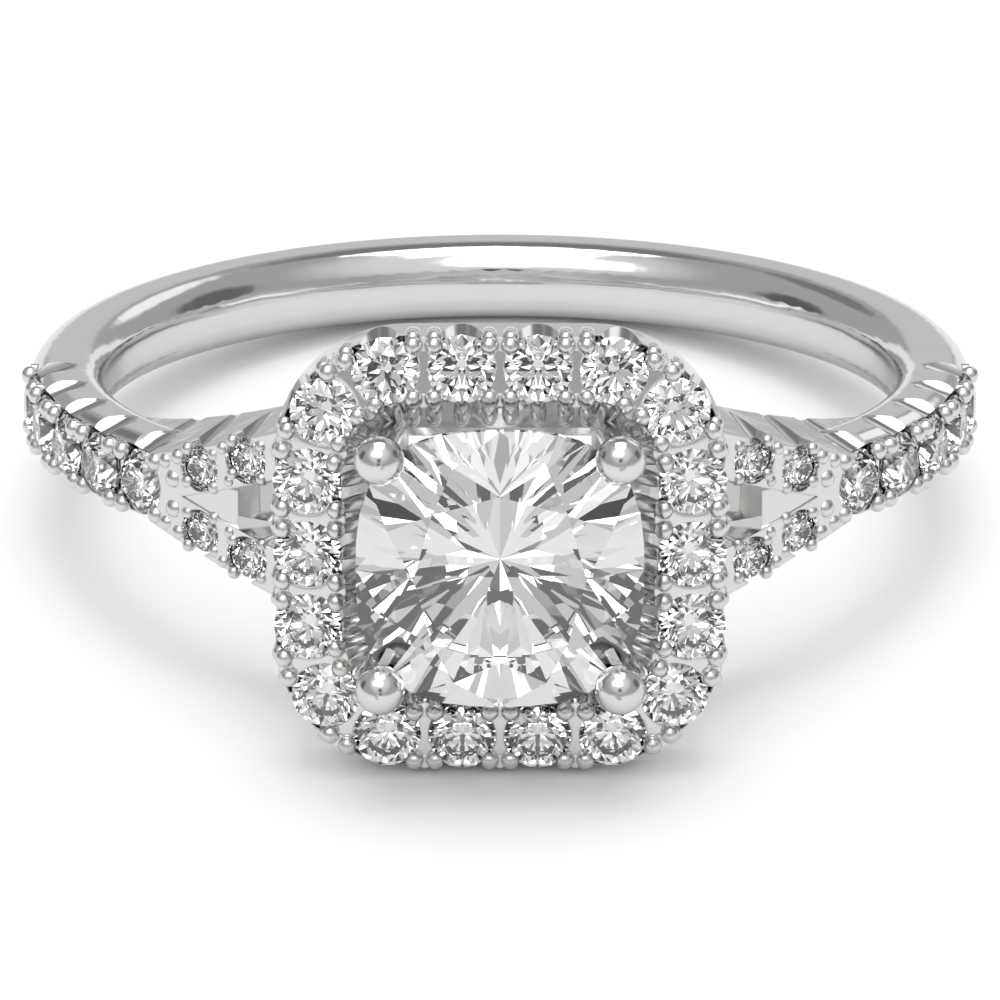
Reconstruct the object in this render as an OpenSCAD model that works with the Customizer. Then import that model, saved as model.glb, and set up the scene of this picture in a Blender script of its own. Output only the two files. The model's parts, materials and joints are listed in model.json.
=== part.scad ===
// A cushion halo ring with a split, stone-set shank, lying on its side.
// It is drawn standing, with the finger along Y, the middle of the finger
// hole at the origin and the head up Z, and lay_down() then rests it.

/* [Finger hole and band] */
// Inside diameter of the band
finger_d = 16.9; // [15.5:0.1:18.5]
// Width of the band along the finger
band_w = 1.76; // [1.6:0.02:2.1]
// Thickness of the band
band_t = 1.55; // [1.4:0.05:1.9]
// Rounding of the outer edges of the band
edge_r = 0.6; // [0.4:0.05:0.65]
// Rounding of the inner edges of the band
comfort_r = 0.6; // [0.4:0.05:0.65]

/* [Split shoulders] */
// Distance from the middle of the ring to where the two bars part
split_x = 7.75; // [7.4:0.05:8.1]
// Width of each bar
bar_w = 0.92; // [0.8:0.02:1.1]
// Distance from the middle of the ring to the open gap between the bars
gap_x = 5.3; // [5.2:0.05:5.7]
// Thickness of the band that passes under the head
bridge_t = 0.75; // [0.6:0.05:1]

/* [Halo] */
// Half the width of the line that the halo stones follow
halo_half = 3.82; // [3.7:0.01:4.1]
// Corner radius of that line
halo_corner = 2; // [1.7:0.05:2.3]
// Height of the halo stones' girdles above the middle of the finger hole
halo_z = 11.55; // [11.3:0.05:12]
// Width of the halo frame outside its line
halo_out = 0.66; // [0.6:0.02:0.68]
// Width of the halo frame inside its line, at the top
halo_in = 0.6; // [0.5:0.02:0.7]
// Depth of the halo frame
halo_t = 1.1; // [0.9:0.05:1.4]
// Width and depth of the slope inside the halo
bevel = 0.84; // [0.7:0.02:0.9]
// Outward lean of the halo stones, in degrees
halo_lean = 6; // [0:1:10]

/* [Centre stone and prongs] */
// Width of the centre stone
stone_w = 5.7; // [5.4:0.05:6]
// Height of its girdle above the middle of the finger hole
stone_z = 12.55; // [12.3:0.05:12.9]
// Height of its crown
crown_h = 0.68; // [0.5:0.02:0.9]
// Depth of its pavilion
pavilion_h = 2.65; // [2.4:0.05:2.9]
// Squareness of its outline: 2 is round, more is squarer
squareness = 2.8; // [2.5:0.1:3.2]
// Diameter of the ball on each prong
ball_d = 1; // [0.8:0.05:1.2]
// Diameter of each prong wire
prong_d = 0.7; // [0.6:0.05:0.85]
// Outward lean of the prongs, in degrees
prong_lean = 6; // [2:1:9]
// Width and height of the rail that joins the prongs
rail = 0.65; // [0.5:0.05:0.8]

/* [Small stones] */
// Diameter of the halo stones
halo_stone_d = 1.38; // [1.3:0.01:1.42]
// Diameter of the stones in the single row of the shank
row_stone_d = 1.38; // [1.3:0.01:1.42]
// Diameter of the stones on the split bars
bar_stone_d = 0.9; // [0.8:0.01:1]
// Space between neighbouring stones
stone_space = 0.12; // [0.1:0.01:0.2]
// Number of stones in the single row of each shoulder
row_count = 5; // [1:1:6]
// Distance from the middle of the ring to the first stone of each row
row_x = 7.3; // [7.2:0.05:7.6]
// Distance from the middle of the ring to the outer stone of each bar
bar_x = 6; // [5.9:0.05:6.1]
// Gap between a stone and its seat
seat_gap = 0.03; // [0.02:0.005:0.04]

/* [Claws] */
// Diameter of the claws of the halo and of the single rows
claw_d = 0.38; // [0.34:0.02:0.46]
// Distance between the two claws of a pair
claw_pair = 0.42; // [0.38:0.02:0.5]
// Diameter of the post under a pair of claws
post_d = 0.3; // [0.26:0.01:0.32]
// Diameter of the claws on the split bars
small_claw_d = 0.28; // [0.26:0.01:0.34]
// Radius of the scallops that are cut beside the stones
scallop_r = 0.5; // [0.4:0.02:0.6]
// Depth of a scallop at the stone's girdle
scallop_d = 0.28; // [0.2:0.02:0.3]
// Lean of the scallops away from the stone, in degrees
scallop_lean = 18; // [16:1:22]
// Diameter of the hole drilled under each stone
drill_d = 0.6; // [0.4:0.05:0.7]

/* [Hidden] */
$fn = 32;
finger_r = finger_d / 2;
outer_r = finger_r + band_t;

// The halo's line is a square with round corners, walked clockwise from
// the middle of its upper side.
side = 2 * (halo_half - halo_corner);
quarter = PI * halo_corner / 2;
line_len = 4 * (side + quarter);
halo_count = floor(line_len / (halo_stone_d + stone_space));
pitch = line_len / halo_count;

// Sizes of a round cut stone, as shares of its radius
table_r = 0.56;
star_r = 0.79;
crown = 0.33;
girdle = 0.035;
pavilion = 0.86;
lower_r = 0.24;
// The slope of its main crown facets bulges past the plain cone by this
bulge = 0.06;

// Places of the shank stones, one row for each side: [x, y, diameter]
row_r = outer_r - 0.14;
row_pitch = row_stone_d + stone_space;
row_step = row_pitch / row_r * 180 / PI;
row_turn = asin(row_x / row_r);
bar_step = bar_stone_d + stone_space;

// The prongs start at the rail's corners and pass the stone's corners
corner_reach = sqrt(2) * stone_w / 2 * pow(0.5, 1 / squareness);
prong_r = prong_d / 2;
ball_r = ball_d / 2;
ball_z = stone_z + crown_h * 0.66;
ball_reach = corner_reach + 0.2;
wire_reach = corner_reach + prong_r * 0.75;
rail_z = finger_r + bridge_t + rail / 2 - 0.35;
foot_reach = wire_reach - (stone_z - rail_z) * tan(prong_lean);
foot = foot_reach / sqrt(2);
bar_turn = atan(foot / (split_x - foot));

// Sizes of the claws, measured from the middle of a stone or of the line
claw_out = halo_out - 0.17;
claw_in = halo_in - 0.04;
claw_side = 0.56;
claw_rise = 0.1;
crown_slope = atan(crown * (1 - star_r * cos(22.5)) / (1 - star_r) / (1 - table_r));
seat_slope = atan(pavilion);
ridge_w = 0.02;
bar_rise = 0.04;

// The ring leans on the lower edge of the halo and on the back of the band
front = [halo_z - 0.9 * halo_t, halo_half + halo_out];
back = [edge_r - outer_r, band_w / 2];
rest_tilt = atan2(front[1] - back[1], front[0] - back[0]);
lift = front[1] * cos(rest_tilt) - front[0] * sin(rest_tilt);

// The lying ring's outline runs from the prongs' balls to the back of the band
top_y = ball_z * cos(rest_tilt) + ball_reach / sqrt(2) * sin(rest_tilt) + ball_r;
back_y = outer_r * cos(rest_tilt) + (band_w / 2 - edge_r) * sin(rest_tilt);

HALO_NAMES = [for (i = [1:halo_count]) str("halo_stone_", i)];
SHANK_SIDES = ["left", "right"];
SHANK_KINDS = concat([for (i = [1:row_count]) str("row_", i)],
                     ["upper_1", "upper_2", "lower_1", "lower_2"]);
SHANK_NAMES = [for (s = SHANK_SIDES) [for (k = SHANK_KINDS) str(s, "_", k)]];

// Place and heading at a distance along the halo's line: [x, y, degrees]
function line_at(s) = let (
    leg = side + quarter,
    k = floor(s / leg + 0.5),
    t = s - k * leg,
    a = t > side / 2 ? (t - side / 2) / halo_corner * 180 / PI
      : t < -side / 2 ? (t + side / 2) / halo_corner * 180 / PI : 0,
    along = min(max(t, -side / 2), side / 2),
    p = [along + halo_corner * sin(a), halo_half - halo_corner + halo_corner * cos(a)]
) [p[0] * cos(90 * k) + p[1] * sin(90 * k), p[1] * cos(90 * k) - p[0] * sin(90 * k), -90 * k - a];

// Puts children at the halo's line, with Y outward and X along the line
module on_halo(s) {
    at = line_at(s);
    translate([at[0], at[1], halo_z]) rotate([0, 0, at[2]]) children();
}

// Puts children on the shank, with Z outward, at a turn from the head
module on_shank(turn, y) rotate([0, turn, 0]) translate([0, y, row_r]) children();

// Lays the standing ring on its side on the floor
module lay_down() translate([0, (top_y - back_y) / 2, lift])
    rotate([90 - rest_tilt, 0, 0]) children();

// A round brilliant of radius r with its girdle at z = 0
module brilliant(r) {
    function ring(rad, z, n, a0) = [for (i = [0:n - 1])
        [r * rad * cos(a0 + 360 * i / n), r * rad * sin(a0 + 360 * i / n), r * z]];
    star_z = crown * (1 - star_r * cos(22.5)) / (1 - table_r) + girdle;
    lower_z = -pavilion * (1 - lower_r * cos(22.5)) - girdle;
    points = concat(ring(table_r, crown + girdle, 8, 0), ring(star_r, star_z, 8, 22.5),
                    ring(1, girdle, 16, 0), ring(1, -girdle, 16, 0),
                    ring(lower_r, lower_z, 8, 22.5), [[0, 0, -r * (pavilion + girdle)]]);
    faces = concat(
        [[for (i = [7:-1:0]) i]],
        [for (i = [0:7]) [i, (i + 1) % 8, 8 + i]],
        [for (i = [0:7]) [i, 8 + i, 16 + 2 * i, 8 + (i + 7) % 8]],
        [for (i = [0:7]) [8 + i, 17 + 2 * i, 16 + 2 * i]],
        [for (i = [0:7]) [8 + i, 16 + (2 * i + 2) % 16, 17 + 2 * i]],
        [for (i = [0:15]) [16 + i, 16 + (i + 1) % 16, 32 + (i + 1) % 16, 32 + i]],
        [for (i = [0:7]) [32 + 2 * i, 33 + 2 * i, 48 + i]],
        [for (i = [0:7]) [33 + 2 * i, 32 + (2 * i + 2) % 16, 48 + i]],
        [for (i = [0:7]) [32 + 2 * i, 48 + i, 56, 48 + (i + 7) % 8]]);
    polyhedron(points, faces);
}

// Outline of the centre stone: a square with bowed sides, at angle a
function outline(a, w) = let (
    c = abs(cos(a)), s = abs(sin(a)),
    rad = w / 2 / pow(pow(c, squareness) + pow(s, squareness), 1 / squareness)
) [rad * cos(a), rad * sin(a)];

// The centre stone cut as a cushion, with its girdle at z = 0. Each ring
// of corners is a share of the outline: [share, height, corners, turn].
module cushion(w, up, down, edge) {
    rings = [[0.60, up + edge, 8, 0], [0.80, up * 0.62 + edge, 8, 22.5],
             [1, edge, 32, 0], [1, -edge, 32, 0],
             [0.24, -down * 0.77 - edge, 8, 22.5], [0, -down - edge, 1, 0]];
    start = [for (i = 0, n = 0; i < len(rings); n = n + rings[i][2], i = i + 1) n];
    points = [for (q = rings) for (i = [0:q[2] - 1])
        let (p = outline(q[3] + 360 * i / q[2], w * q[0])) [p[0], p[1], q[1]]];
    table_face = [[for (i = [7:-1:0]) i]];
    crown_faces = [for (i = [0:7]) each [
        [i, (i + 1) % 8, start[1] + i],
        [i, start[1] + i, start[2] + 4 * i], [i, start[2] + 4 * i, start[1] + (i + 7) % 8],
        for (j = [0:3]) [start[1] + i, start[2] + (4 * i + j + 1) % 32, start[2] + 4 * i + j]]];
    girdle_faces = [for (i = [0:31])
        [start[2] + i, start[2] + (i + 1) % 32, start[3] + (i + 1) % 32, start[3] + i]];
    pavilion_faces = [for (i = [0:7]) each [
        for (j = [0:3]) [start[3] + 4 * i + j, start[3] + (4 * i + j + 1) % 32, start[4] + i],
        [start[3] + 4 * i, start[4] + i, start[5]],
        [start[3] + 4 * i, start[5], start[4] + (i + 7) % 8]]];
    polyhedron(points, concat(table_face, crown_faces, girdle_faces, pavilion_faces));
}

// Section of the band: [distance from the finger's axis, y]. Its inner
// roundings reach a little into the finger hole, which is then bored out.
module band_section() {
    half = band_w / 2;
    inner = finger_r + 0.94 * comfort_r;
    outer = outer_r - edge_r;
    translate([inner, -half]) square([outer - inner, band_w]);
    translate([finger_r - 0.1, comfort_r - half]) square([comfort_r + 0.1, band_w - 2 * comfort_r]);
    translate([outer - edge_r, edge_r - half]) square([2 * edge_r, band_w - 2 * edge_r]);
    for (y = [-1, 1]) {
        translate([inner, y * (half - comfort_r)]) circle(comfort_r);
        translate([outer, y * (half - edge_r)]) circle(edge_r);
    }
}

// The band, all the way round but for the head, where only a thin bridge
// passes between the two bars of each shoulder
module band() rotate([90, 0, 0]) {
    open = asin(gap_x / outer_r);
    rotate([0, 0, 90 + open]) rotate_extrude(angle = 360 - 2 * open) band_section();
    cylinder(h = band_w - 1.4 * comfort_r, r = finger_r + bridge_t, center = true);
}

// One bar of a split shoulder, from where the bars part to its prong
module bar(x, y) {
    length = norm([split_x - foot, foot]);
    intersection() {
        rotate([90, 0, 0]) cylinder(h = 4 * foot, r = outer_r + bar_rise, center = true);
        translate([x * split_x, 0, 0]) rotate([0, 0, -x * y * bar_turn])
            translate([x > 0 ? -length : 0, -bar_w / 2, finger_r / 2])
                cube([length, bar_w, outer_r]);
    }
}

// A groove's section for stones of radius r with their girdles at y = 0:
// its two slopes are those of the stones' pavilions
module groove_section(r) {
    wide = r + seat_gap / sin(seat_slope);
    low = girdle * r;
    polygon([[0, -low - wide * tan(seat_slope)], [wide, -low], [wide, r], [-wide, r],
             [-wide, -low]]);
}

// The ridge left between two seats in a groove, along Y with its crest at
// z = 0. Its sides slope as the stones' pavilions do, plus an extra turn.
module ridge(r, extra) {
    deep = r * pavilion;
    foot_w = ridge_w / 2 + deep / tan(seat_slope + extra);
    rotate([90, 0, 0]) linear_extrude(r * 1.2, center = true)
        polygon([[-ridge_w / 2, 0], [ridge_w / 2, 0], [foot_w, -deep], [-foot_w, -deep]]);
}

// A seat for one stone of radius r, a little tighter than the groove
module seat(r) {
    wide = r + 0.7 * seat_gap / sin(seat_slope);
    deep = wide * tan(seat_slope);
    translate([0, 0, -deep - girdle * r]) cylinder(h = deep, r1 = 0, r2 = wide);
    translate([0, 0, -0.02 - girdle * r]) cylinder(h = r, r = wide);
}

// The hole under a stone of radius r, as deep as the metal behind it
module drill(r, depth) translate([0, 0, -depth]) cylinder(h = depth, r = r * drill_d / 1.4);

// The room cut out of one shoulder for its stones
module shoulder_room(x) {
    first = shoulder_places[0][0];
    last = shoulder_places[row_count - 1][0];
    rotate([90, 0, 0]) rotate([0, 0, 90 - (x > 0 ? last : -first)])
        rotate_extrude(angle = last - first) translate([row_r, 0]) rotate(-90)
            groove_section(row_stone_d / 2);
    for (i = [0, row_count - 1]) on_shank(x * shoulder_places[i][0], 0) seat(row_stone_d / 2);
    for (i = [row_count:row_count + 3])
        on_shank(x * shoulder_places[i][0], shoulder_places[i][1]) seat(bar_stone_d / 2);
}

// A scallop of radius r cut to a depth into a wall at y, beside a stone at
// z = 0. It runs out towards the finger, because its axis leans away.
module scallop(y, depth, r) translate([0, y - depth + r, 0])
    rotate([scallop_lean, 0, 0]) cylinder(h = 3, r = r, center = true);

// The scallops beside the stones of one shoulder: on both sides of the row,
// and on the outer side of each bar
module shoulder_scallops(x) {
    for (i = [0:row_count - 1], v = [0, 1]) on_shank(x * shoulder_places[i][0], 0)
        mirror([0, v, 0]) scallop(band_w / 2, scallop_d, scallop_r);
    for (i = [row_count:row_count + 3]) let (place = shoulder_places[i])
        on_shank(x * place[0], place[1]) mirror([0, place[1] < 0 ? 1 : 0, 0])
            rotate([0, 0, -x * bar_turn]) scallop(bar_w / 2, scallop_d / 2, scallop_r * 0.7);
}

// Section of the halo frame: [distance outside the line, height]
module frame_section() {
    rise = tan(halo_lean);
    difference() {
        polygon([
            [-halo_in - bevel, -halo_t], [-halo_in - bevel, halo_in * rise - bevel],
            [-halo_in, halo_in * rise], [halo_out, -halo_out * rise],
            [halo_out, -halo_t * 0.9], [halo_out - halo_t * 0.1, -halo_t]]);
        rotate(-halo_lean) groove_section(halo_stone_d / 2);
    }
}

// The halo frame: four straight sides and four round corners
module frame() difference() {
    inner = halo_half - halo_corner;
    translate([0, 0, halo_z]) for (k = [0:3]) rotate([0, 0, 90 * k]) {
        translate([0, halo_half, 0]) rotate([0, 90, 0]) rotate([0, 0, 90])
            linear_extrude(2 * inner, center = true) frame_section();
        translate([inner, inner, 0]) rotate_extrude(angle = 90)
            translate([halo_corner, 0]) frame_section();
    }
    for (i = [1:halo_count]) on_halo((i - 0.5) * pitch) {
        scallop(halo_out, scallop_d, scallop_r);
        rotate([-halo_lean, 0, 0]) drill(halo_stone_d / 2, 2 * halo_t);
    }
}

// A claw at [x, y] from the middle of a stone of radius r, with the girdle
// at z = 0: a ball, cut flat where it lies on the stone's crown
module claw(r, at, d, lean) {
    difference() {
        translate([at[0], at[1], claw_rise - at[1] * tan(lean)]) sphere(d / 2);
        rotate([-lean, 0, 0]) rotate([0, 0, atan2(at[1], at[0])])
            translate([r + seat_gap, 0, girdle * r]) rotate([0, crown_slope, 0])
                translate([-d, -d, -2 * d]) cube(2 * d);
    }
}

// Place of a claw seen from the halo stone at s: x and y are its sides
function claw_at(s, x, y) = let (
    me = line_at(s),
    gap = line_at(s + x * pitch / 2),
    along = -x * claw_pair / 2,
    across = y > 0 ? claw_out : -claw_in,
    p = [gap[0] - me[0] + along * cos(gap[2]) - across * sin(gap[2]),
         gap[1] - me[1] + along * sin(gap[2]) + across * cos(gap[2])]
) [p[0] * cos(me[2]) + p[1] * sin(me[2]), p[1] * cos(me[2]) - p[0] * sin(me[2])];

// The halo's claws, two over every post
module halo_claws() {
    for (i = [1:halo_count]) {
        s = (i - 0.5) * pitch;
        on_halo(s) for (x = [-1, 1], y = [-1, 1])
            claw(halo_stone_d / 2, claw_at(s, x, y), claw_d, halo_lean);
        on_halo(i * pitch) {
            for (y = [claw_out + 0.03, -claw_in - 0.05]) translate([0, y, -claw_d])
                cylinder(h = claw_d + claw_rise - y * tan(halo_lean), r = post_d / 2);
            rotate([-halo_lean, 0, 0]) ridge(halo_stone_d / 2, halo_lean / 2);
        }
    }
}

// Places of the stones of one shoulder: [turn from the head, y, diameter]
row_places = [for (i = [1:row_count]) [row_turn + (i - 1) * row_step, 0, row_stone_d]];
bar_places = [for (y = [1, -1], i = [1, 2]) let (
    px = bar_x - (i - 1) * bar_step * cos(bar_turn)
) [asin(px / row_r), y * (split_x - px) * tan(bar_turn), bar_stone_d]];
shoulder_places = concat(row_places, bar_places);

// The claws of one shoulder: pairs over posts along the row, and four
// single claws about each stone of the bars
module shoulder_claws(x) {
    for (i = [0:row_count - 1]) on_shank(x * shoulder_places[i][0], 0)
        for (u = [-1, 1], v = [-1, 1])
            claw(row_stone_d / 2, [u * (row_pitch - claw_pair) / 2, v * claw_side], claw_d, 0);
    for (i = [0:row_count]) on_shank(x * (row_turn + (i - 0.5) * row_step), 0) {
        for (v = [-1, 1]) translate([0, v * (claw_side + 0.03), -claw_d])
            cylinder(h = claw_d + claw_rise, r = post_d / 2);
        if (i > 0 && i < row_count) ridge(row_stone_d / 2, row_step / 2);
    }
    for (i = [row_count:row_count + 3])
        on_shank(x * shoulder_places[i][0], shoulder_places[i][1])
            for (a = [45:90:315]) rotate([0, 0, a]) {
                claw(bar_stone_d / 2, [bar_stone_d / 2 + 0.04, 0], small_claw_d, 0);
                translate([bar_stone_d / 2 + seat_gap + small_claw_d * 0.3, 0, -small_claw_d])
                    cylinder(h = small_claw_d + claw_rise, r = small_claw_d * 0.3);
            }
}

// The centre prongs, from the rail to a ball over the stone's corner
module prongs() difference() {
    for (k = [0:3]) rotate([0, 0, 45 + 90 * k]) {
        translate([foot_reach, 0, rail_z]) rotate([0, prong_lean, 0])
            cylinder(h = (ball_z - rail_z) / cos(prong_lean), r = prong_r);
        translate([ball_reach, 0, ball_z]) sphere(ball_r);
    }
    translate([0, 0, stone_z])
        cushion(stone_w + 2 * seat_gap, crown_h + seat_gap, pavilion_h + seat_gap, 0.06 + seat_gap);
}

// The rail that joins the feet of the prongs
module foot_rail() {
    translate([0, 0, rail_z]) for (k = [0:3]) rotate([0, 0, 90 * k])
        translate([0, foot, 0]) cube([2 * foot + rail, rail, rail], center = true);
}

// The band and the bars, with the finger hole and the stones' room cut out
module shank() {
    difference() {
        difference() {
            union() {
                band();
                for (x = [-1, 1], y = [-1, 1]) bar(x, y);
            }
            rotate([90, 0, 0]) cylinder(h = 4 * foot, r = finger_r, center = true);
            for (x = [-1, 1]) shoulder_room(x);
        }
        for (x = [-1, 1]) shoulder_scallops(x);
    }
    for (x = [-1, 1]) shoulder_claws(x);
}

module head() {
    frame();
    halo_claws();
    prongs();
    foot_rail();
}

module mounting() color("gainsboro") lay_down() {
    shank();
    head();
}

module centre_stone() color("white") lay_down() translate([0, 0, stone_z])
    cushion(stone_w, crown_h, pavilion_h, 0.06);

module halo_stone(i) color("white") lay_down() on_halo((i - 0.5) * pitch)
    rotate([-halo_lean, 0, 0]) brilliant(halo_stone_d / 2);

// One stone of a shoulder: x is its side, i its place in the list
module shank_stone(x, i) color("white") lay_down()
    on_shank(x * shoulder_places[i][0], shoulder_places[i][1])
        brilliant(shoulder_places[i][2] / 2);

mounting();
centre_stone();
for (i = [1:halo_count]) halo_stone(i);
for (k = [0, 1], i = [0:len(SHANK_KINDS) - 1])
    shank_stone(2 * k - 1, i);
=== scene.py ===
"""A cushion halo ring in polished white gold, lying on its side on a pale table."""

import json

import bpy
import numpy as np
from mathutils import Euler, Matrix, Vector


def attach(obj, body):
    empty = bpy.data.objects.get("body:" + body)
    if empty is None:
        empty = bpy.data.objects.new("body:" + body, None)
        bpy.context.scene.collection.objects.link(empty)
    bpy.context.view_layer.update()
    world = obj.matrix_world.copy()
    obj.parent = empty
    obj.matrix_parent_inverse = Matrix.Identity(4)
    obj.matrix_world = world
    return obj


bl_info = {
    "name": "Cushion halo ring",
    "version": (1, 0, 0),
    "blender": (4, 5, 0),
    "location": "3D View > Sidebar > Ring",
    "description": "Finishes a stone-set halo ring and lays it on a lit table",
    "category": "Object",
}

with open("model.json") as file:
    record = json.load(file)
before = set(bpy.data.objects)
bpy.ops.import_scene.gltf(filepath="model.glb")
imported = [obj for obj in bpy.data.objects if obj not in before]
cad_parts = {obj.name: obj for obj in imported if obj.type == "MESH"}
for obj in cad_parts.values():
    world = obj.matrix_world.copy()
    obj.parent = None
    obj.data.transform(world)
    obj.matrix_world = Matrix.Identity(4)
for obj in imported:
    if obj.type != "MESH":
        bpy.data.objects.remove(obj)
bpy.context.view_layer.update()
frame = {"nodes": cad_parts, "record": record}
NODES = frame["nodes"]
STONES = sorted(n for n in NODES if n != "mounting")
BORE = frame["record"]["mounts"][0]

MM = 0.001

# The sizes below are in millimetres, for the standing ring, whose finger
# hole runs along Y and whose head is up Z.

# The halo's line and section, and the radii of its stones, of the cylinder
# that the bars follow and of the finger hole, as the solids have them
HALO_HALF = 3.82
HALO_CORNER = 2.0
HALO_Z = 11.55
HALO_OUT = 0.66
HALO_IN = 0.6
HALO_RISE = np.tan(np.radians(6.0))
HALO_STONES = 18
STONE_R = 0.69
CLAW_PAIR = 0.42
BAR_R = 10.04
FINGER_R = 8.45
BAND_R = 10.0

# Core of the band's section: distances from the finger's axis and along it,
# and the radius by which the section is rounded about it
BAND_EDGE = 0.6
BAND_CORE_R = (FINGER_R + 0.94 * BAND_EDGE, BAND_R - BAND_EDGE)
BAND_CORE_Y = (-0.28, 0.28)
# How far from that radius a point may be to count as on the section, and how
# alike, as a cosine, the two normals are where the section's takes over
BAND_NEAR = 0.03
BAND_ALIKE = (0.82, 0.92)

# Width and height of the dome inside the band, and the distance from the
# finger's axis up to which it reaches
DOME_WIDTH = 1.4
DOME_HEIGHT = 0.1
DOME_R = FINGER_R + 0.25
# Height of the shallow waves that hand polishing leaves
WAVE_HEIGHT = 0.02

# Where the stems start and end on the inner slope and on the outer wall of
# the halo: distances outward and up from its line
SLOPE_STEM = ((-HALO_IN - 0.02, HALO_IN * HALO_RISE),
              (-HALO_IN - 0.74, HALO_IN * HALO_RISE - 0.74))
WALL_STEM = ((HALO_OUT - 0.06, -0.1), (HALO_OUT - 0.06, -0.72))

# The webs between the halo's stones: where they end across the halo, half
# their height, the most of half their width, and their lap over a girdle
WEB_ENDS = (-HALO_IN + 0.02, HALO_OUT - 0.08)
WEB_HALF_HEIGHT = 0.06
WEB_HALF_MOST = 0.22
WEB_LAP = 0.02

# The beads of the halo's rim: radius, and how far their middles lie in from
# the outer wall and down from its top
RIM_BEAD_R = 0.18
RIM_BEAD_IN = 0.09
RIM_BEAD_DOWN = 0.08

# Beads of one bar of a shoulder: x, y and radius
SHOULDER_BEADS = ((6.77, 0.66, 0.18), (6.52, 0.80, 0.18), (6.60, 0.32, 0.22),
                  (5.60, 1.20, 0.15), (5.46, 0.54, 0.14))

# Angle at which a stem or a bead stops short of its pole and is capped
POLE = 0.12

# Refractive index of the stones
DIAMOND_IOR = 2.417
# Size and stretch of the hairlines in a polish
HAIRLINE_SCALE = 4200.0
HAIRLINE_STRETCH = (6.0, 0.5, 6.0)

# Share of its colour with which the table shows in mirrors
TABLE_IN_MIRRORS = 0.8
# Grey of the tent as the metal and as the stones see it, and the even light
# that falls on the table
TENT_GREY = 0.42
SPARKLE_GREY = 0.60
EVEN_LIGHT = 1.05

# The photo's view: what the camera stands off from, how far, how high in
# degrees, how many degrees it looks past that, and its lens
VIEW_MIDDLE = (0.0, 1.9108, 2.5345)
VIEW_DISTANCE = 165
VIEW_UP = 26.524
VIEW_TILT = 0.8095
LENS = 279.0
SENSOR = 36.0

# Numbers of a Mix node's two inputs and of its output, by what it mixes
MIX_SOCKETS = {"RGBA": (6, 7, 2), "VECTOR": (4, 5, 1)}


class RingSizes(bpy.types.PropertyGroup):
    """Sizes of the finer forms that go onto the metal"""

    stem_width: bpy.props.FloatProperty(
        name="Stem width",
        description="Width of the stem that runs down the halo under each claw",
        default=0.34 * MM,
        min=0.2 * MM,
        max=0.4 * MM,
        unit="LENGTH",
    )
    stem_height: bpy.props.FloatProperty(
        name="Stem height",
        description="How far a stem stands out of the halo",
        default=0.12 * MM,
        min=0.02 * MM,
        max=0.15 * MM,
        unit="LENGTH",
    )
    soft_edge: bpy.props.FloatProperty(
        name="Soft edge",
        description="Radius to which the polishing wheel rounds the metal's edges",
        default=0.05 * MM,
        min=0.01 * MM,
        max=0.2 * MM,
        unit="LENGTH",
    )


class RingColours(bpy.types.PropertyGroup):
    """Colours of the ring and of the table"""

    gold: bpy.props.FloatVectorProperty(
        name="White gold",
        description="Colour that the polished metal mirrors",
        default=(0.80, 0.80, 0.795),
        min=0.0,
        max=1.0,
        size=3,
        subtype="COLOR",
    )
    table: bpy.props.FloatVectorProperty(
        name="Table",
        description="Colour of the table top",
        default=(0.92, 0.92, 0.92),
        min=0.0,
        max=1.0,
        size=3,
        subtype="COLOR",
    )


def lay_down(points):
    """Turns points of the standing ring (finger along Y, head up Z, in mm)
    into metres in the part's frame, where the ring lies on its side."""
    along = np.array(BORE["axis"])
    up = np.array([0.0, -along[2], along[1]])
    turned = np.stack([np.array([1.0, 0.0, 0.0]), along, up])
    return points @ turned * MM + np.array(BORE["pos_m"])


def halo_line(s):
    """Places on the halo's line at distances s from the middle of its upper
    side: the points, and the outward unit vectors. The line is a square with
    round corners, so s is cut into four legs, each a half side, a quarter
    circle and a half side."""
    side = 2 * (HALO_HALF - HALO_CORNER)
    leg = side + np.pi / 2 * HALO_CORNER
    k = np.floor(s / leg + 0.5)
    t = s - k * leg
    along = np.clip(t, -side / 2, side / 2)
    a = (t - along) / HALO_CORNER
    x = along + HALO_CORNER * np.sin(a)
    y = HALO_HALF - HALO_CORNER + HALO_CORNER * np.cos(a)
    turn = -np.pi / 2 * k
    place = np.stack([x * np.cos(turn) - y * np.sin(turn),
                      x * np.sin(turn) + y * np.cos(turn)], -1)
    out = np.stack([np.sin(a - turn), np.cos(a - turn)], -1)
    return place, out


def halo_stems(starts, top, foot, width, height):
    """Stems at distances starts along the halo. Each one is an ellipse of
    width by height that is swept from top to foot, both (outward, up) from
    the line, and shrinks to nothing at its ends as the square root of the
    sine of its way. Returns vertices and faces."""
    place, out = halo_line(starts)
    tangent = np.stack([out[:, 1], -out[:, 0]], -1)
    top, foot = np.array(top), np.array(foot)
    way = (foot - top) / np.linalg.norm(foot - top)
    normal = np.array([-way[1], way[0]]) * (1 if top[0] > 0 else -1)
    u = np.linspace(POLE, np.pi - POLE, 11)
    v = np.linspace(0, 2 * np.pi, 12, endpoint=False)
    size = np.sqrt(np.sin(u))
    middle = top + (1 - np.cos(u))[:, None] / 2 * (foot - top)
    lift = height * size[:, None] * np.sin(v)
    across = middle[:, None, 0] + normal[0] * lift
    rise = middle[:, None, 1] + normal[1] * lift
    side = width / 2 * size[:, None] * np.cos(v)
    flat = (place[:, None, None] + across[None, ..., None] * out[:, None, None]
            + side[None, ..., None] * tangent[:, None, None])
    z = np.broadcast_to(HALO_Z + rise[None, ..., None], flat.shape[:3] + (1,))
    points = np.concatenate([flat, z], -1).reshape(-1, 3)
    return points, tube_faces(len(starts), len(u), len(v))


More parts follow.
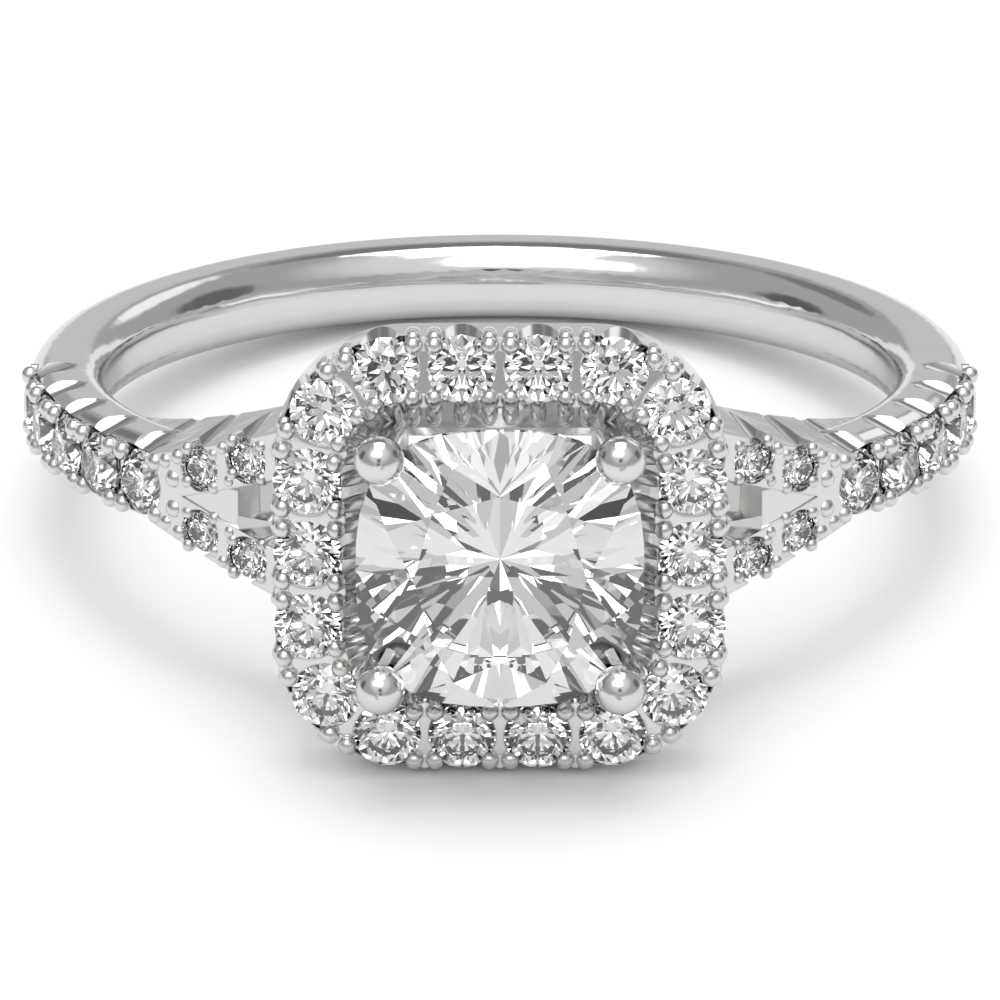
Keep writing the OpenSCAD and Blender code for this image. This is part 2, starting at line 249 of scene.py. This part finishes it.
def web_half(across, side, centre):
    """Half the width of the web between two round stones, where their
    girdles are side away and centre outward from it: what the two circles
    leave free, and a hair more, because the metal laps over the girdles."""
    chord = np.sqrt(np.clip(STONE_R**2 - (across - centre) ** 2, 0.0, None))
    return side - chord + WEB_LAP


def halo_webs(gaps, pitch):
    """Bars of metal between the halo's stones. Each is swept across the halo
    as a rounded box as wide as the stones leave room for, whose half width
    and half height go as the cube root of cosine and sine, with its top
    just over the girdles. Returns vertices and faces."""
    place, out = halo_line(gaps)
    tangent = np.stack([out[:, 1], -out[:, 0]], -1)
    stone = halo_line(gaps + pitch / 2)[0] - place
    side = np.abs((stone * tangent).sum(-1))[:, None]
    centre = (stone * out).sum(-1)[:, None]
    across = np.linspace(*WEB_ENDS, 13)
    half = np.minimum(web_half(across[None], side, centre), WEB_HALF_MOST)
    v = np.linspace(0, 2 * np.pi, 20, endpoint=False)
    flat = (place[:, None, None] + across[None, :, None, None] * out[:, None, None]
            + (half[..., None] * np.cbrt(np.cos(v)))[..., None] * tangent[:, None, None])
    z = HALO_Z - across[None, :, None] * HALO_RISE - WEB_HALF_HEIGHT * np.cbrt(np.sin(v))
    z = np.broadcast_to(z[..., None], flat.shape[:3] + (1,))
    points = np.concatenate([flat, z], -1).reshape(-1, 3)
    return points, tube_faces(len(gaps), len(across), len(v))


def beads(middles, radii):
    """Round beads at middles (x, y, z): rings of points whose radius goes as
    the sine and whose height goes as the cosine of an angle, with small flat
    poles. Returns vertices and faces."""
    u = np.linspace(POLE, np.pi - POLE, 10)[:, None]
    v = np.linspace(0, 2 * np.pi, 14, endpoint=False)
    ball = np.stack([np.sin(u) * np.cos(v), np.sin(u) * np.sin(v),
                     -np.cos(u) + 0 * v], -1)
    points = np.array(middles)[:, None, None] + ball * np.array(radii)[:, None, None, None]
    return points.reshape(-1, 3), tube_faces(len(middles), len(u), len(v))


def shoulder_beads(spots):
    """Beads on the curved tops of the bars, at spots (x, y, radius): each one
    sits on the cylinder that the bars follow, sunk by half its radius."""
    x, y, radius = np.array(spots).T
    reach = BAR_R - radius * 0.5
    return beads(np.stack([x, y, np.sqrt(reach**2 - x**2)], -1), radius)


def rim_beads(starts, radius):
    """Beads at distances starts along the halo, sunk into the top of its
    outer wall."""
    place, out = halo_line(starts)
    flat = place + out * (HALO_OUT - RIM_BEAD_IN)
    height = np.full((len(flat), 1), HALO_Z - HALO_OUT * HALO_RISE - RIM_BEAD_DOWN)
    return beads(np.concatenate([flat, height], -1), np.full(len(flat), radius))


def tube_faces(count, rings, sides):
    """Faces of count closed tubes of rings by sides vertices, with capped
    ends, as lists of vertex numbers."""
    i, j = np.meshgrid(np.arange(rings - 1), np.arange(sides), indexing="ij")
    right = (j + 1) % sides
    quads = np.stack([i * sides + j, i * sides + right, (i + 1) * sides + right,
                      (i + 1) * sides + j], -1).reshape(-1, 4)
    caps = np.stack([np.arange(sides)[::-1], (rings - 1) * sides + np.arange(sides)])
    shift = np.arange(count)[:, None, None] * rings * sides
    quads = (quads[None] + shift).reshape(-1, 4)
    caps = (caps[None] + shift).reshape(-1, sides)
    return quads.tolist() + caps.tolist()


def add_piece(name, points, faces, material, slot):
    """Makes a smooth piece of the standing ring's points and faces, laid on
    its side, that rides with the ring."""
    mesh = bpy.data.meshes.new(name)
    mesh.from_pydata(lay_down(points).tolist(), [], faces)
    mesh.polygons.foreach_set("use_smooth", np.ones(len(mesh.polygons), bool))
    mesh.update()
    piece = bpy.data.objects.new(name, mesh)
    bpy.context.collection.objects.link(piece)
    mesh.materials.append(material)
    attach(piece, "root")


def dress(name, material):
    """Gives a node of the solids one material."""
    mesh = NODES[name].data
    mesh.materials.clear()
    mesh.materials.append(material)


def new_material(name):
    """A material with an empty node tree and its output node."""
    mat = bpy.data.materials.new(name)
    mat.use_nodes = True
    tree = mat.node_tree
    tree.nodes.clear()
    out = tree.nodes.new("ShaderNodeOutputMaterial")
    return mat, tree, out


def link(tree, out, into):
    """Joins an output socket to an input socket."""
    tree.links.new(out, into)


def put(tree, value, into):
    """Joins a socket to an input, or sets the input to a plain value."""
    if isinstance(value, bpy.types.NodeSocket):
        link(tree, value, into)
    else:
        into.default_value = value


def math_node(tree, operation, *values):
    """A math node on sockets or numbers, as its output socket."""
    node = tree.nodes.new("ShaderNodeMath")
    node.operation = operation
    for into, value in zip(node.inputs, values):
        put(tree, value, into)
    return node.outputs[0]


def vector_node(tree, operation, a, b=None, scale=None):
    """A vector math node on sockets or vectors, as its output socket: a
    number for a length or a dot product, and else a vector."""
    node = tree.nodes.new("ShaderNodeVectorMath")
    node.operation = operation
    put(tree, a, node.inputs[0])
    if b is not None:
        put(tree, b, node.inputs[1])
    if scale is not None:
        link(tree, scale, node.inputs["Scale"])
    return node.outputs["Value" if operation in ("LENGTH", "DOT_PRODUCT") else "Vector"]


def mix_node(tree, kind, share, a, b, blend="MIX"):
    """A mix of two colours or vectors, sockets or plain ones, as its output
    socket: a where the share is 0, and b where it is 1."""
    node = tree.nodes.new("ShaderNodeMix")
    node.data_type = kind
    node.blend_type = blend
    first, second, out = MIX_SOCKETS[kind]
    put(tree, share, node.inputs[0])
    put(tree, a, node.inputs[first])
    put(tree, b, node.inputs[second])
    return node.outputs[out]


def smooth_step(tree, value, low, high, start=0.0, end=1.0):
    """A number that goes smoothly from start to end while the value goes
    from low to high, as a socket."""
    node = tree.nodes.new("ShaderNodeMapRange")
    node.interpolation_type = "SMOOTHSTEP"
    put(tree, value, node.inputs["Value"])
    for label, number in (("From Min", low), ("From Max", high),
                          ("To Min", start), ("To Max", end)):
        node.inputs[label].default_value = number
    return node.outputs["Result"]


def polish_group():
    """Shader node group of a polish: a tint that drifts a little over the
    surface, a roughness raised by fine hairlines, and the height of shallow
    waves. Its inputs are Tint, Scale, Drift, Smooth and Hairline."""
    group = bpy.data.node_groups.get("hand polish")
    if group:
        return group
    group = bpy.data.node_groups.new("hand polish", "ShaderNodeTree")
    face = group.interface
    face.new_socket("Tint", in_out="INPUT", socket_type="NodeSocketColor")
    for label, value in (("Scale", 900.0), ("Drift", 0.06), ("Smooth", 0.05), ("Hairline", 0.05)):
        socket = face.new_socket(label, in_out="INPUT", socket_type="NodeSocketFloat")
        socket.default_value = value
    face.new_socket("Color", in_out="OUTPUT", socket_type="NodeSocketColor")
    face.new_socket("Roughness", in_out="OUTPUT", socket_type="NodeSocketFloat")
    face.new_socket("Height", in_out="OUTPUT", socket_type="NodeSocketFloat")
    start = group.nodes.new("NodeGroupInput").outputs
    end = group.nodes.new("NodeGroupOutput").inputs
    where = group.nodes.new("ShaderNodeTexCoord").outputs["Object"]
    drift = group.nodes.new("ShaderNodeTexNoise")
    drift.inputs["Detail"].default_value = 2.0
    link(group, where, drift.inputs["Vector"])
    link(group, start["Scale"], drift.inputs["Scale"])
    shade = mix_node(group, "RGBA", start["Drift"], start["Tint"], drift.outputs["Color"],
                     blend="MULTIPLY")
    link(group, shade, end["Color"])
    link(group, drift.outputs["Fac"], end["Height"])
    grain = group.nodes.new("ShaderNodeMapping")
    grain.inputs["Scale"].default_value = HAIRLINE_STRETCH
    lines = group.nodes.new("ShaderNodeTexNoise")
    lines.inputs["Scale"].default_value = HAIRLINE_SCALE
    lines.inputs["Detail"].default_value = 3.0
    link(group, where, grain.inputs["Vector"])
    link(group, grain.outputs["Vector"], lines.inputs["Vector"])
    rough = math_node(group, "MULTIPLY_ADD", lines.outputs["Fac"], start["Hairline"],
                      start["Smooth"])
    link(group, rough, end["Roughness"])
    return group


def add_polish(tree, shader, tint, **values):
    """Puts a polish group with a tint and values for its other inputs into a
    material, and joins it to the shader's colour and roughness. Returns the
    group's node."""
    polish = tree.nodes.new("ShaderNodeGroup")
    polish.node_tree = polish_group()
    polish.inputs["Tint"].default_value = (*tint, 1.0)
    for label, value in values.items():
        polish.inputs[label].default_value = value
    link(tree, polish.outputs["Color"], shader.inputs["Base Color"])
    link(tree, polish.outputs["Roughness"], shader.inputs["Roughness"])
    return polish


def add_bump(tree, height, distance, normal):
    """A full strength bump over a normal, as the new normal's socket."""
    bump = tree.nodes.new("ShaderNodeBump")
    bump.inputs["Strength"].default_value = 1.0
    bump.inputs["Distance"].default_value = distance
    link(tree, height, bump.inputs["Height"])
    link(tree, normal, bump.inputs["Normal"])
    return bump.outputs["Normal"]


def band_place(tree):
    """Where a point is on the band: its distance along the finger's axis, its
    distance from that axis, and the unit vector away from the axis."""
    where = tree.nodes.new("ShaderNodeTexCoord").outputs["Object"]
    from_middle = vector_node(tree, "SUBTRACT", where, BORE["pos_m"])
    along = vector_node(tree, "DOT_PRODUCT", from_middle, BORE["axis"])
    shift = vector_node(tree, "SCALE", BORE["axis"], scale=along)
    away = vector_node(tree, "SUBTRACT", from_middle, shift)
    radius = vector_node(tree, "LENGTH", away)
    return along, radius, vector_node(tree, "NORMALIZE", away)


def comfort_dome(tree, along, radius):
    """Height of the slight dome across the inside of the band, as a socket:
    full in the middle of the band, falling smoothly to 0 at half the dome's
    width, and 0 outside the finger hole."""
    off_middle = math_node(tree, "ABSOLUTE", along)
    dome = smooth_step(tree, off_middle, 0.0, DOME_WIDTH * MM / 2, DOME_HEIGHT * MM, 0.0)
    inside = math_node(tree, "LESS_THAN", radius, DOME_R * MM)
    return math_node(tree, "MULTIPLY", dome, inside)


def past(tree, value, low, high):
    """How far a value lies outside a range, with its sign, as a socket."""
    clamp = tree.nodes.new("ShaderNodeClamp")
    clamp.inputs["Min"].default_value = low * MM
    clamp.inputs["Max"].default_value = high * MM
    link(tree, value, clamp.inputs["Value"])
    return math_node(tree, "SUBTRACT", value, clamp.outputs[0])


def band_normal(tree, along, radius, away, normal):
    """The band's own smooth normal where the metal follows the band's round
    edged section, and the given normal elsewhere. The section is everything
    within BAND_EDGE of a core, so its normal points away from that core."""
    outward = vector_node(tree, "SCALE", away, scale=past(tree, radius, *BAND_CORE_R))
    sideways = vector_node(tree, "SCALE", BORE["axis"], scale=past(tree, along, *BAND_CORE_Y))
    both = vector_node(tree, "ADD", outward, sideways)
    turn = tree.nodes.new("ShaderNodeVectorTransform")
    turn.vector_type = "VECTOR"
    turn.convert_from = "OBJECT"
    turn.convert_to = "WORLD"
    link(tree, both, turn.inputs[0])
    smooth = vector_node(tree, "NORMALIZE", turn.outputs[0])
    reach = vector_node(tree, "LENGTH", both)
    close = math_node(tree, "COMPARE", reach, BAND_EDGE * MM, BAND_NEAR * MM)
    cosine = vector_node(tree, "DOT_PRODUCT", smooth, normal)
    share = math_node(tree, "MULTIPLY", close, smooth_step(tree, cosine, *BAND_ALIKE))
    mix = mix_node(tree, "VECTOR", share, normal, smooth)
    return vector_node(tree, "NORMALIZE", mix)


def gold_material(colours, sizes):
    """Polished white gold: a full mirror with a soft polish and edges rounded
    by the wheel."""
    mat, tree, out = new_material("white gold")
    gold = tree.nodes.new("ShaderNodeBsdfPrincipled")
    gold.inputs["Metallic"].default_value = 1.0
    polish = add_polish(tree, gold, colours.gold,
                        Scale=900.0, Drift=0.06, Smooth=0.07, Hairline=0.08)
    edge = tree.nodes.new("ShaderNodeBevel")
    edge.samples = 2
    edge.inputs["Radius"].default_value = sizes.soft_edge
    along, radius, away = band_place(tree)
    smooth = band_normal(tree, along, radius, away, edge.outputs["Normal"])
    wave = add_bump(tree, polish.outputs["Height"], WAVE_HEIGHT * MM, smooth)
    dome = add_bump(tree, comfort_dome(tree, along, radius), 1.0, wave)
    link(tree, dome, gold.inputs["Normal"])
    link(tree, gold.outputs["BSDF"], out.inputs["Surface"])
    return mat


def diamond_material():
    """Clear cut stone: light bends strongly in it and its facets mirror, with
    the faint lines that the cutting wheel leaves."""
    mat, tree, out = new_material("diamond")
    stone = tree.nodes.new("ShaderNodeBsdfPrincipled")
    add_polish(tree, stone, (1.0, 1.0, 1.0),
               Scale=1500.0, Drift=0.01, Smooth=0.0, Hairline=0.012)
    stone.inputs["IOR"].default_value = DIAMOND_IOR
    stone.inputs["Transmission Weight"].default_value = 1.0
    link(tree, stone.outputs["BSDF"], out.inputs["Surface"])
    return mat


class RING_OT_metal(bpy.types.Operator):
    """Polishes the metal mounting"""

    bl_idname = "ring.metal"
    bl_label = "Metal"

    def execute(self, context):
        scene = context.scene
        dress("mounting", gold_material(scene.ring_colours, scene.ring_sizes))
        return {"FINISHED"}


class RING_OT_stems(bpy.types.Operator):
    """Adds the stems of the halo's claws, the webs between its stones, and
    the beads of its rim and of the shoulders"""

    bl_idname = "ring.stems"
    bl_label = "Claw stems"

    def execute(self, context):
        sizes = context.scene.ring_sizes
        pitch = (8 * (HALO_HALF - HALO_CORNER) + 2 * np.pi * HALO_CORNER) / HALO_STONES
        gaps = np.arange(HALO_STONES) * pitch
        starts = (gaps[:, None] + np.array([-0.5, 0.5]) * CLAW_PAIR).ravel()
        mat = bpy.data.materials["white gold"]
        width, height = sizes.stem_width / MM, sizes.stem_height / MM
        ribs = np.concatenate([starts, gaps + pitch / 2])
        inner, faces = halo_stems(ribs, *SLOPE_STEM, width, height)
        outer, more = halo_stems(starts, *WALL_STEM, width, height)
        faces += [[n + len(inner) for n in face] for face in more]
        add_piece("claw_stems", np.concatenate([inner, outer]), faces, mat, "metal")
        add_piece("halo_webs", *halo_webs(gaps, pitch), mat, "metal")
        add_piece("rim_beads", *rim_beads(starts, RIM_BEAD_R), mat, "metal")
        spots = [(x * px, y * py, size) for x in (-1, 1) for y in (-1, 1)
                 for px, py, size in SHOULDER_BEADS]
        add_piece("shoulder_beads", *shoulder_beads(spots), mat, "metal")
        return {"FINISHED"}


class RING_OT_stones(bpy.types.Operator):
    """Gives every stone its clear, facetted finish"""

    bl_idname = "ring.stones"
    bl_label = "Stones"

    def execute(self, context):
        mat = diamond_material()
        for name in STONES:
            dress(name, mat)
        return {"FINISHED"}


class RING_OT_stage(bpy.types.Operator):
    """Sets the table, the lights and the camera"""

    bl_idname = "ring.stage"
    bl_label = "Stage"

    def execute(self, context):
        scene = context.scene
        make_table(scene.ring_colours)
        make_lights(scene)
        make_camera(scene)
        return {"FINISHED"}


def make_table(colours):
    """A flat square table top, 2 m wide. The metal mirrors it a little darker
    than it looks."""
    verts = np.array([[-1, -1, 0], [1, -1, 0], [1, 1, 0], [-1, 1, 0]], float)
    mesh = bpy.data.meshes.new("table")
    mesh.from_pydata(verts.tolist(), [], [[0, 1, 2, 3]])
    table = bpy.data.objects.new("table", mesh)
    bpy.context.collection.objects.link(table)
    mat, tree, out = new_material("table top")
    top = tree.nodes.new("ShaderNodeBsdfPrincipled")
    top.inputs["Roughness"].default_value = 0.6
    ray = tree.nodes.new("ShaderNodeLightPath")
    darker = [TABLE_IN_MIRRORS * c for c in colours.table]
    shade = mix_node(tree, "RGBA", ray.outputs["Is Glossy Ray"],
                     (*colours.table, 1.0), (*darker, 1.0))
    link(tree, shade, top.inputs["Base Color"])
    link(tree, top.outputs["BSDF"], out.inputs["Surface"])
    mesh.materials.append(mat)


def area_light(name, place, aim, width, height, power):
    """A softbox of that size at a place, facing a point, in watts."""
    data = bpy.data.lights.new(name, "AREA")
    data.shape = "RECTANGLE"
    data.size = width
    data.size_y = height
    data.energy = power
    lamp = bpy.data.objects.new(name, data)
    lamp.location = place
    way = Vector(aim) - Vector(place)
    lamp.rotation_euler = way.to_track_quat("-Z", "Y").to_euler()
    bpy.context.collection.objects.link(lamp)


def toward(side, up):
    """Unit vector that points to a side, in degrees right of the camera's
    own direction from the ring, and up, in degrees above the table."""
    side, up = np.radians(side), np.radians(up)
    return (np.cos(up) * np.sin(side), -np.cos(up) * np.cos(side), np.sin(up))


def patch(tree, where, colour, place, size, soft, shine):
    """Paints one round patch on the sky: its place is (side, up), its radius
    and soft rim are in degrees. Returns the new colour socket."""
    near = vector_node(tree, "DOT_PRODUCT", where, toward(*place))
    mask = smooth_step(tree, near, np.cos(np.radians(size + soft)), np.cos(np.radians(size)))
    return mix_node(tree, "RGBA", mask, colour, (shine, shine, shine, 1.0))


# Patches on the sky: (side, up), radius, soft rim, brightness. The metal
# mirrors the first sky, a soft tent, and the stones gather the second one.
SOFT_SKY = (
    ((180, 8), 10, 8, 0.62),
    ((150, 26), 9, 6, 1.1),
    ((-150, 30), 8, 6, 0.22),
    ((180, 52), 13, 8, 0.22),
    ((0, 60), 26, 30, 0.8),
    ((-6, 60), 12, 8, 2.4),
    ((-38, 56), 9, 7, 2.2),
    ((0, 27), 6, 4, 0.04),
    ((-100, 15), 10, 6, 0.12),
    ((100, 20), 12, 6, 0.15),
)
SPARKLE_SKY = (
    ((180, 30), 30, 10, 1.0),
    ((-50, 34), 10, 3, 4.5),
    ((-74, 40), 8, 3, 0.03),
    ((56, 42), 10, 3, 4.0),
    ((82, 36), 8, 3, 0.03),
    ((0, 70), 10, 3, 4.5),
    ((-26, 48), 8, 3, 0.02),
    ((32, 52), 8, 3, 0.02),
    ((-28, 22), 7, 2, 0.01),
    ((30, 20), 7, 2, 0.01),
    ((12, 60), 5, 2, 0.01),
    ((-44, 56), 5, 2, 0.01),
    ((48, 60), 5, 2, 0.01),
    ((-8, 14), 4, 2, 0.01),
    ((-17, 6), 6, 3, 3.0),
    ((20, 4), 6, 3, 3.0),
    ((0, 27), 9, 3, 0.02),
    ((5, 48), 6, 2, 4.0),
    ((-10, 40), 3, 2, 3.0),
    ((-100, 15), 8, 5, 0.05),
    ((100, 20), 8, 5, 0.05),
    ((-112, 38), 10, 4, 3.5),
    ((112, 42), 10, 4, 3.5),
    ((-80, 62), 9, 4, 3.0),
    ((80, 64), 9, 4, 3.0),
)


def paint_sky(tree, where, grey, patches):
    """A sky of one grey with round patches on it, as a colour socket."""
    tent = tree.nodes.new("ShaderNodeRGB")
    tent.outputs[0].default_value = (grey, grey, grey * 1.01, 1.0)
    colour = tent.outputs[0]
    for place, size, soft, shine in patches:
        colour = patch(tree, where, colour, place, size, soft, shine)
    return colour


def make_lights(scene):
    """A grey paper tent with bright windows and dark gaps, and a wide softbox
    overhead. The table sees an even tent, so that its shadow stays soft."""
    scene.view_settings.view_transform = "Standard"
    world = bpy.data.worlds.new("studio")
    scene.world = world
    world.use_nodes = True
    tree = world.node_tree
    sky = tree.nodes["Background"]
    where = tree.nodes.new("ShaderNodeTexCoord").outputs["Generated"]
    ray = tree.nodes.new("ShaderNodeLightPath")
    mirrored = mix_node(tree, "RGBA", ray.outputs["Is Transmission Ray"],
                        paint_sky(tree, where, TENT_GREY, SOFT_SKY),
                        paint_sky(tree, where, SPARKLE_GREY, SPARKLE_SKY))
    tent = mix_node(tree, "RGBA", ray.outputs["Is Diffuse Ray"], mirrored,
                    (EVEN_LIGHT, EVEN_LIGHT, EVEN_LIGHT, 1.0))
    link(tree, tent, sky.inputs["Color"])
    area_light("overhead", place=(0.0, 0.05, 0.32), aim=(0.0, 0.0, 0.0),
               width=0.2, height=0.22, power=0.34)


def make_camera(scene):
    """The photo's view: 26.5 degrees above the table, 165 mm from the middle
    of the finger hole, through a long lens."""
    up = np.radians(VIEW_UP)
    data = bpy.data.cameras.new("camera")
    data.sensor_width = SENSOR
    data.lens = LENS
    data.clip_start = 0.01
    data.clip_end = 10.0
    cam = bpy.data.objects.new("camera", data)
    back = Vector((0.0, -np.cos(up), np.sin(up)))
    cam.location = Vector(VIEW_MIDDLE) * MM + VIEW_DISTANCE * MM * back
    cam.rotation_euler = Euler((np.radians(90.0 - VIEW_UP - VIEW_TILT), 0.0, 0.0))
    bpy.context.collection.objects.link(cam)
    scene.camera = cam


class RING_PT_panel(bpy.types.Panel):
    """Lists the steps and sizes of the ring"""

    bl_label = "Halo ring"
    bl_idname = "RING_PT_panel"
    bl_space_type = "VIEW_3D"
    bl_region_type = "UI"
    bl_category = "Ring"

    def draw(self, context):
        layout = self.layout
        for group in (context.scene.ring_sizes, context.scene.ring_colours):
            for key in group.bl_rna.properties.keys():
                if key not in ("rna_type", "name"):
                    layout.prop(group, key)
        for cls in OPERATORS:
            layout.operator(cls.bl_idname)


OPERATORS = (RING_OT_metal, RING_OT_stems, RING_OT_stones, RING_OT_stage)
CLASSES = (RingSizes, RingColours, *OPERATORS, RING_PT_panel)


def register():
    """Registers the classes and gives the scene its sizes and colours."""
    for cls in CLASSES:
        bpy.utils.register_class(cls)
    bpy.types.Scene.ring_sizes = bpy.props.PointerProperty(type=RingSizes)
    bpy.types.Scene.ring_colours = bpy.props.PointerProperty(type=RingColours)


def unregister():
    """Takes the sizes, the colours and the classes away again."""
    del bpy.types.Scene.ring_colours
    del bpy.types.Scene.ring_sizes
    for cls in reversed(CLASSES):
        bpy.utils.unregister_class(cls)


def main():
    """Builds the whole scene."""
    register()
    bpy.ops.ring.metal()
    bpy.ops.ring.stems()
    bpy.ops.ring.stones()
    bpy.ops.ring.stage()


if __name__ == "__main__":
    main()
